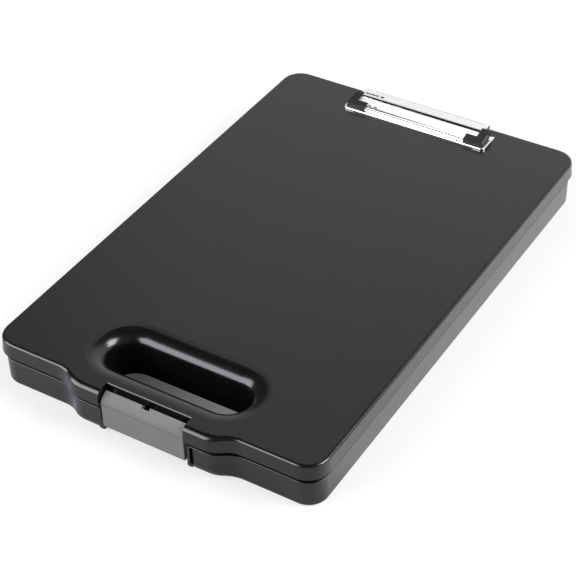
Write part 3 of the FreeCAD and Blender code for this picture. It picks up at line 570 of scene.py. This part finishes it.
room = dict(
    fill=0.45,  # light on matt faces
    horizon=0.52, ceiling=0.03, low=0.75, high=0.90, lean=(0.03, 0.2, 1),  # mirrored wall up to the ceiling
    backwards=(-0.538, 0.843, 0), backLow=-0.15, backHigh=0.45, frontLevel=0.22,  # darker towards the front
    rightwards=(0.843, 0.538, 0), leftEnd=-0.30, leftStart=-0.06, beyondLeft=0.12,  # and past the left end
    sideLow=-0.12, sideHigh=0.30, leftLevel=1.50, rightLevel=2.12,  # brighter towards the right
    floorSize=8.0, floorColour=0.25, floorGlow=0.64, floorDrop=0.0004, floorRoughness=0.9,
    sweep=(0.5, 0.87, 0), sweepLow=-0.105, sweepHigh=-0.045, frontGlow=0.42, backGlow=1.12,  # mirrored floor
    leftGlow=0.08, leftFrom=0.03, leftTo=-0.12, mirrorTint=(0.93, 0.91, 1.0),
    holeReach=0.038, holeRadius=0.0175, holeY=-0.151, holeSoft=0.002,  # painted shade on the floor under the hand hole
    # the dim painted glow in the hole at its left and right, and the painted dark colour there
    holeSpan=0.04, paintedHoleLeft=0.055, paintedHoleRight=0.19, paintedHoleShadeColour=0.02,
)
alongX = (1, 0, 0)


def dotWith(tree, links, source, direction):
    # How far a vector points along a direction
    node = addNode(tree, "ShaderNodeVectorMath", operation="DOT_PRODUCT")
    node.inputs[1].default_value = direction
    links.new(source, node.inputs[0])
    return node.outputs["Value"]


def ease(tree, links, source, start, end, low, high, kind="SMOOTHSTEP"):
    # A value that eases from low to high while the source runs from start to end
    node = addNode(tree, "ShaderNodeMapRange", interpolation_type=kind,
                   in_From_Min=start, in_From_Max=end, in_To_Min=low, in_To_Max=high)
    links.new(source, node.inputs["Value"])
    return node.outputs["Result"]


def makeWorld():
    # Bright low down behind the object, dark overhead and towards the camera, as glossy faces mirror it
    world = bpy.data.worlds.new("studio")
    bpy.context.scene.world = world
    world.use_nodes = True
    tree, links = world.node_tree.nodes, world.node_tree.links
    background = tree["Background"]
    background.inputs["Color"].default_value = (1, 1, 1, 1)
    place = addNode(tree, "ShaderNodeTexCoord").outputs["Generated"]
    height = dotWith(tree, links, place, room["lean"])
    fade = ease(tree, links, height, room["low"], room["high"], room["horizon"], room["ceiling"])
    back = ease(tree, links, dotWith(tree, links, place, room["backwards"]),
                room["backLow"], room["backHigh"], room["frontLevel"], 1.0)
    right = dotWith(tree, links, place, room["rightwards"])
    side = ease(tree, links, right, room["sideLow"], room["sideHigh"],
                room["leftLevel"], room["rightLevel"], "LINEAR")
    edge = ease(tree, links, right, room["leftEnd"], room["leftStart"], room["beyondLeft"], 1.0)
    mirrored = combine(tree, links, "MULTIPLY", fade, back)
    mirrored = combine(tree, links, "MULTIPLY", mirrored, combine(tree, links, "MULTIPLY", side, edge))
    path = addNode(tree, "ShaderNodeLightPath")
    sharp = combine(tree, links, "MAXIMUM", path.outputs["Is Glossy Ray"], path.outputs["Is Transmission Ray"])
    shown = addNode(tree, "ShaderNodeMix", data_type="FLOAT", in_A=room["fill"])
    links.new(sharp, shown.inputs["Factor"])
    links.new(mirrored, shown.inputs["B"])
    links.new(combine(tree, links, "MAXIMUM", shown.outputs["Result"], path.outputs["Is Camera Ray"]),
              background.inputs["Strength"])


def pastSlot(tree, links, place):
    # The distance from the middle line of the hand hole, a slot with round ends
    offset = addNode(tree, "ShaderNodeVectorMath", operation="SUBTRACT")
    offset.inputs[1].default_value = (0, room["holeY"], 0)
    size = addNode(tree, "ShaderNodeVectorMath", operation="ABSOLUTE")
    beyond = addNode(tree, "ShaderNodeVectorMath", operation="SUBTRACT")
    beyond.inputs[1].default_value = (room["holeReach"], 0, 0)
    positive = addNode(tree, "ShaderNodeVectorMath", operation="MAXIMUM")
    distance = addNode(tree, "ShaderNodeVectorMath", operation="LENGTH")
    links.new(place, offset.inputs[0])
    for before, after in ((offset, size), (size, beyond), (beyond, positive), (positive, distance)):
        links.new(before.outputs["Vector"], after.inputs[0])
    return distance.outputs["Value"]


def floorMaterial():
    # It looks white and keeps its shadows; what shiny faces mirror in it is set apart from that
    material, tree, links, shader = newMaterial("floorWhite")
    shader.inputs["Roughness"].default_value = room["floorRoughness"]
    shader.inputs["Specular IOR Level"].default_value = 0.0
    place = addNode(tree, "ShaderNodeTexCoord").outputs["Object"]
    path = addNode(tree, "ShaderNodeLightPath").outputs
    rightward = dotWith(tree, links, place, alongX)
    backward = dotWith(tree, links, place, room["sweep"])
    sweep = (room["sweepLow"], room["sweepHigh"])
    # Mirrored in the sides: brighter towards the back right, and a little at the front left
    back = ease(tree, links, backward, *sweep, room["frontGlow"], room["backGlow"])
    left = ease(tree, links, rightward, room["leftFrom"], room["leftTo"], 0.0, room["leftGlow"])
    mirrored = combine(tree, links, "MULTIPLY", path["Is Glossy Ray"], combine(tree, links, "ADD", back, left))
    # Painted shade under the hand hole: inside its footprint the floor has no mirrored glow, a dim painted glow
    # for camera rays that grows from left to right, and a darker colour
    outside = pastSlot(tree, links, place)
    holeEdge = (room["holeRadius"], room["holeRadius"] + room["holeSoft"])
    outsidePaintedShade = ease(tree, links, outside, *holeEdge, 0.0, 1.0)
    across = ease(tree, links, rightward, -room["holeSpan"], room["holeSpan"],
                  room["paintedHoleLeft"], room["paintedHoleRight"], "LINEAR")
    paintedHoleShade = combine(tree, links, "MULTIPLY", across, combine(tree, links, "SUBTRACT", 1.0, outsidePaintedShade))
    seen = combine(tree, links, "MULTIPLY_ADD", outsidePaintedShade, room["floorGlow"], paintedHoleShade)
    # Painted shade: a darker floor colour inside the hand hole's footprint
    links.new(ease(tree, links, outside, *holeEdge, room["paintedHoleShadeColour"], room["floorColour"]),
              shader.inputs["Base Color"])
    glow = combine(tree, links, "ADD", combine(tree, links, "MULTIPLY", mirrored, outsidePaintedShade),
                   combine(tree, links, "MULTIPLY", path["Is Camera Ray"], seen))
    links.new(glow, shader.inputs["Emission Strength"])
    # The light mirrored at the front is a little blue; inputs 6 and 7 are the two colours
    plain = combine(tree, links, "SUBTRACT", 1.0, path["Is Glossy Ray"])
    warm = ease(tree, links, backward, *sweep, 0.0, 1.0)
    tint = addNode(tree, "ShaderNodeMix", data_type="RGBA")
    links.new(combine(tree, links, "MAXIMUM", plain, warm), tint.inputs["Factor"])
    tint.inputs[6].default_value = (*room["mirrorTint"], 1)
    tint.inputs[7].default_value = (1, 1, 1, 1)
    links.new(tint.outputs[2], shader.inputs["Emission Color"])
    # Clear from below, so that the underside can be seen
    clear = addNode(tree, "ShaderNodeBsdfTransparent")
    oneSided = addNode(tree, "ShaderNodeMixShader")
    links.new(addNode(tree, "ShaderNodeNewGeometry").outputs["Backfacing"], oneSided.inputs[0])
    links.new(shader.outputs["BSDF"], oneSided.inputs[1])
    links.new(clear.outputs["BSDF"], oneSided.inputs[2])
    links.new(oneSided.outputs["Shader"], tree["Material Output"].inputs["Surface"])
    return material


def makeFloor():
    # A square just under the object
    half, z = room["floorSize"] / 2, -room["floorDrop"]
    corners = [(-half, -half, z), (half, -half, z), (half, half, z), (-half, half, z)]
    mesh = bpy.data.meshes.new("floor")
    mesh.from_pydata(corners, [], [(0, 1, 2, 3)])
    mesh.materials.append(floorMaterial())
    floor = bpy.data.objects.new("floor", mesh)
    bpy.context.scene.collection.objects.link(floor)


makeCamera()
for lampName, lamp in lamps.items():
    makeLamp(lampName, lamp)
makeWorld()
makeFloor()
bpy.context.scene.view_settings.view_transform = "Standard"
print("camera and lights set")
